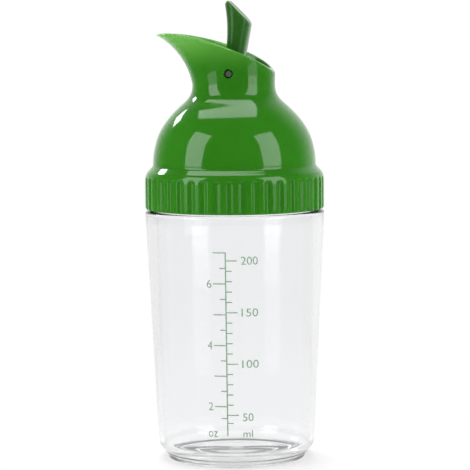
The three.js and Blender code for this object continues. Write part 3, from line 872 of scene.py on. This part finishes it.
def silicone_rubber():
    material, tree, shader = new_material("silicone_rubber")
    colour = ramp(tree, noise(tree, 300.0), (0.66, 0.67, 0.64), (0.74, 0.75, 0.72))
    tree.links.new(colour, shader.inputs["Base Color"])
    shader.inputs["Roughness"].default_value = 0.5
    shader.inputs["Subsurface Weight"].default_value = 0.15
    shader.inputs["Subsurface Scale"].default_value = 0.002
    add_bump(tree, shader, noise(tree, 900.0), 0.00002, 0.4)
    return material


def pin_steel():
    """Cut steel rod: fine turning marks round its axis."""
    material, tree, shader = new_material("pin_steel")
    shader.inputs["Metallic"].default_value = 1.0
    place = tree.nodes.new("ShaderNodeTexCoord")
    wave = tree.nodes.new("ShaderNodeTexWave")
    wave.wave_type = "RINGS"
    wave.rings_direction = "Y"
    wave.inputs["Scale"].default_value = 900.0
    wave.inputs["Distortion"].default_value = 3.0
    tree.links.new(place.outputs["Object"], wave.inputs["Vector"])
    colour = ramp(tree, wave.outputs["Fac"], (0.36, 0.34, 0.33), (0.62, 0.61, 0.6))
    tree.links.new(colour, shader.inputs["Base Color"])
    shader.inputs["Roughness"].default_value = 0.32
    add_bump(tree, shader, wave.outputs["Fac"], 0.00003, 0.5)
    return material


def paint_ink():
    material, tree, shader = new_material("scale_ink")
    colour = ramp(tree, noise(tree, 700.0), (0.16, 0.3, 0.18), (0.24, 0.4, 0.26))
    tree.links.new(colour, shader.inputs["Base Color"])
    shader.inputs["Roughness"].default_value = 0.45
    return material


def dress(piece, material):
    piece.data.materials.clear()
    piece.data.materials.append(material)


# Pieces

def add_piece(piece, material, body, node):
    dress(piece, material)
    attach(piece, body)
    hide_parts(node)


silicone = silicone_rubber()
# The green's thin colour is painted light: a lighter tint at the beak's tip that stands in for light coming
# through the thin wall.
green = gloss_plastic("green_plastic", (0.0205, 0.166, 0.0038), (0.0240, 0.183, 0.0050), 0.08,
                      thin=(0.11, 0.36, 0.045))
dark_green = gloss_plastic("dark_green_plastic", (0.0205, 0.106, 0.0100), (0.0240, 0.120, 0.0125), 0.24,
                           gloss=0.3)
add_piece(build_bottle(), clear_plastic(), "bottle", "bottle")
add_piece(build_lid(), green, "lid", "lid")
add_piece(build_lever(), dark_green, "lever", "lever")
add_piece(build_seal_ring(), silicone, "lift_ring", "seal_ring")
add_piece(build_plug(), silicone, "lever", "plug_seal")
add_piece(build_pin(), pin_steel(), "lid", "pivot_pin")

printed_scale = build_scale()
dress(printed_scale, paint_ink())
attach(printed_scale, "bottle")


# Studio

def add_camera():
    data = bpy.data.cameras.new("camera")
    data.lens = CAMERA_LENS
    data.sensor_width = CAMERA_SENSOR
    data.clip_start = 0.01
    camera = bpy.data.objects.new("camera", data)
    camera.location = (CAMERA_DISTANCE * math.sin(CAMERA_AZIMUTH),
                       -CAMERA_DISTANCE * math.cos(CAMERA_AZIMUTH), CAMERA_HEIGHT)
    forward = Vector((-math.sin(CAMERA_AZIMUTH) * math.cos(CAMERA_PITCH),
                      math.cos(CAMERA_AZIMUTH) * math.cos(CAMERA_PITCH), -math.sin(CAMERA_PITCH)))
    camera.rotation_euler = forward.to_track_quat("-Z", "Y").to_euler()
    camera.rotation_euler.rotate_axis("Z", CAMERA_ROLL)
    bpy.context.scene.collection.objects.link(camera)
    bpy.context.scene.camera = camera


def add_softbox(name, azimuth, elevation, width, height, power, up=Vector((0, 0, 1))):
    """A rectangular lamp that faces the object; azimuth 0 is the camera's side, positive to its right.

    Angles are in degrees, width and height in metres, and power in watts.
    """
    data = bpy.data.lights.new(name, "AREA")
    data.shape = "RECTANGLE"
    data.size = width
    data.size_y = height
    data.energy = power
    lamp = bpy.data.objects.new(name, data)
    angle = CAMERA_AZIMUTH + math.radians(azimuth)
    rise = math.radians(elevation)
    level = math.cos(rise)
    direction = Vector((math.sin(angle) * level, -math.cos(angle) * level, math.sin(rise)))
    lamp.location = LAMP_TARGET + LAMP_DISTANCE * direction
    tall = (up - up.dot(direction) * direction).normalized()
    lamp.rotation_euler = Matrix((tall.cross(direction), tall, direction)).transposed().to_euler()
    bpy.context.scene.collection.objects.link(lamp)
    return lamp


def larger(tree, first, second):
    node = tree.nodes.new("ShaderNodeMath")
    node.operation = "MAXIMUM"
    tree.links.new(first, node.inputs[0])
    tree.links.new(second, node.inputs[1])
    return node.outputs[0]


def blend(tree, factor, start, stop):
    """A value that runs from start to stop; each of the two is a number or a socket."""
    node = tree.nodes.new("ShaderNodeMix")
    tree.links.new(factor, node.inputs[0])
    for value, socket in ((start, node.inputs[2]), (stop, node.inputs[3])):
        if isinstance(value, float):
            socket.default_value = value
        else:
            tree.links.new(value, socket)
    return node.outputs[0]


def mirrored_spot(azimuth, steepness):
    """Where, on a level plane one unit above, a surface facing this way shows the camera its reflection."""
    normal = Vector((math.sin(azimuth) * math.cos(steepness), -math.cos(azimuth) * math.cos(steepness),
                     math.sin(steepness)))
    view = Vector((0, 1, -math.tan(CAMERA_PITCH)))
    ray = view - 2 * view.dot(normal) * normal
    return ray.x / ray.z, ray.y / ray.z


def add_top_panel():
    """A bowed overhead softbox, whose reflection crosses the top of the dome as a level band."""
    vertices = []
    for share in np.linspace(0, 1, TOP_PANEL_STATIONS):
        for left_end, right_end in (TOP_PANEL_FRONT, TOP_PANEL_BACK):
            spot = (1 - share) * np.radians(left_end) + share * np.radians(right_end)
            right, back = mirrored_spot(*spot)
            vertices.append((TOP_PANEL_RISE * right, TOP_PANEL_RISE * back, 0))
    faces = [(2 * i, 2 * i + 1, 2 * i + 3, 2 * i + 2) for i in range(TOP_PANEL_STATIONS - 1)]
    mesh = bpy.data.meshes.new("top_panel")
    mesh.from_pydata(vertices, [], faces)
    panel = bpy.data.objects.new("top_panel", mesh)
    panel.location = (0, 0, TOP_PANEL_RISE + TOP_PANEL_BASE)
    panel.rotation_euler = (0, 0, CAMERA_AZIMUTH)
    bpy.context.scene.collection.objects.link(panel)
    material, tree, shader = new_material("panel_light")
    shader.inputs["Base Color"].default_value = (0, 0, 0, 1)
    shader.inputs["Emission Color"].default_value = (1, 1, 1, 1)
    shader.inputs["Emission Strength"].default_value = TOP_PANEL_GLOW
    dress(panel, material)


def light_world():
    """White as the camera sees it, soft fill for matt surfaces, and for gloss and clear plastic
    a white backdrop that darkens to the room on the camera's side."""
    world = bpy.data.worlds.new("world")
    bpy.context.scene.world = world
    world.use_nodes = True
    tree = world.node_tree
    background = tree.nodes["Background"]
    background.inputs["Color"].default_value = (1, 1, 1, 1)
    path = tree.nodes.new("ShaderNodeLightPath")
    place = tree.nodes.new("ShaderNodeTexCoord")
    parts = tree.nodes.new("ShaderNodeSeparateXYZ")
    tree.links.new(place.outputs["Generated"], parts.inputs[0])
    surround = smooth_range(tree, parts.outputs["Y"], *BACKDROP_RANGE, ROOM_BRIGHTNESS, 1.0)
    across = tree.nodes.new("ShaderNodeMath")
    across.operation = "ABSOLUTE"
    tree.links.new(parts.outputs["Y"], across.inputs[0])
    through = smooth_range(tree, across.outputs[0], *SIDE_RANGE, SIDE_BRIGHTNESS, 1.0)
    mirrored = blend(tree, path.outputs["Is Glossy Ray"], FILL_BRIGHTNESS, surround)
    indirect = blend(tree, path.outputs["Is Transmission Ray"], mirrored, through)
    seen = blend(tree, path.outputs["Is Camera Ray"], indirect, 1.0)
    tree.links.new(seen, background.inputs["Strength"])


def add_floor():
    """A pale floor that takes the soft shadow near the object and is plain white farther off."""
    mesh = bpy.data.meshes.new("floor")
    half = FLOOR_HALF_WIDTH
    corners = [(-half, -half, 0), (half, -half, 0), (half, half, 0), (-half, half, 0)]
    mesh.from_pydata(corners, [], [(0, 1, 2, 3)])
    floor = bpy.data.objects.new("floor", mesh)
    floor.location = (0, 0, -FLOOR_DROP)
    bpy.context.scene.collection.objects.link(floor)
    material, tree, shader = new_material("pale_floor")
    shader.inputs["Base Color"].default_value = (0.92, 0.92, 0.92, 1)
    shader.inputs["Roughness"].default_value = 0.9
    shader.inputs["Specular IOR Level"].default_value = 0.0
    path = tree.nodes.new("ShaderNodeLightPath")
    place = tree.nodes.new("ShaderNodeTexCoord")
    distance = tree.nodes.new("ShaderNodeVectorMath")
    distance.operation = "LENGTH"
    tree.links.new(place.outputs["Object"], distance.inputs[0])
    outward = tree.nodes.new("ShaderNodeVectorMath")
    outward.operation = "NORMALIZE"
    tree.links.new(place.outputs["Object"], outward.inputs[0])
    parts = tree.nodes.new("ShaderNodeSeparateXYZ")
    tree.links.new(outward.outputs[0], parts.inputs[0])
    white = smooth_range(tree, distance.outputs["Value"], *CONTACT_RANGE, CONTACT_WHITE, 1.0)
    mirrored = larger(tree, path.outputs["Is Glossy Ray"], path.outputs["Is Transmission Ray"])
    seen = larger(tree, path.outputs["Is Camera Ray"], mirrored)
    glow = tree.nodes.new("ShaderNodeEmission")
    surround = smooth_range(tree, parts.outputs["Y"], *BACKDROP_RANGE, ROOM_BRIGHTNESS, 1.0)
    near = smooth_range(tree, distance.outputs["Value"], *NEAR_FLOOR_RANGE, NEAR_FLOOR_WHITE, 0.0)
    lit = larger(tree, surround, near)
    reflected = blend(tree, path.outputs["Is Glossy Ray"], 1.0, lit)
    strength = blend(tree, path.outputs["Is Transmission Ray"], reflected, 1.0)
    tree.links.new(strength, glow.inputs["Strength"])
    mix = tree.nodes.new("ShaderNodeMixShader")
    tree.links.new(blend(tree, seen, 0.0, white), mix.inputs["Fac"])
    tree.links.new(shader.outputs["BSDF"], mix.inputs[1])
    tree.links.new(glow.outputs["Emission"], mix.inputs[2])
    tree.links.new(mix.outputs["Shader"], tree.nodes["Material Output"].inputs["Surface"])
    dress(floor, material)


add_camera()
behind = Vector((-math.sin(CAMERA_AZIMUTH), math.cos(CAMERA_AZIMUTH), 0))
add_softbox("softbox_left", -59, 23.25, 0.44, 0.755, 3.4)
add_softbox("softbox_right", 54, 23.25, 0.46, 0.755, 3.4)
add_softbox("softbox_left_foot", -59, -3, 0.44, 0.107, 0.18)
add_softbox("softbox_right_foot", 54, -3, 0.46, 0.107, 0.18)
add_top_panel()
add_softbox("softbox_back", -137, 31, 0.18, 0.12, 0.8)
for lamp in (add_softbox("fill_left", -88, 8, 0.6, 0.6, 3.0),
             add_softbox("fill_right", 88, 8, 0.6, 0.6, 3.0),
             add_softbox("fill_top", 0, 86, 0.6, 0.6, 2.2, up=behind),
             add_softbox("fill_back", -172, 50, 0.5, 0.4, 6.0)):
    lamp.visible_glossy = False
    lamp.visible_transmission = False
light_world()
add_floor()
bpy.context.scene.view_settings.view_transform = "Standard"
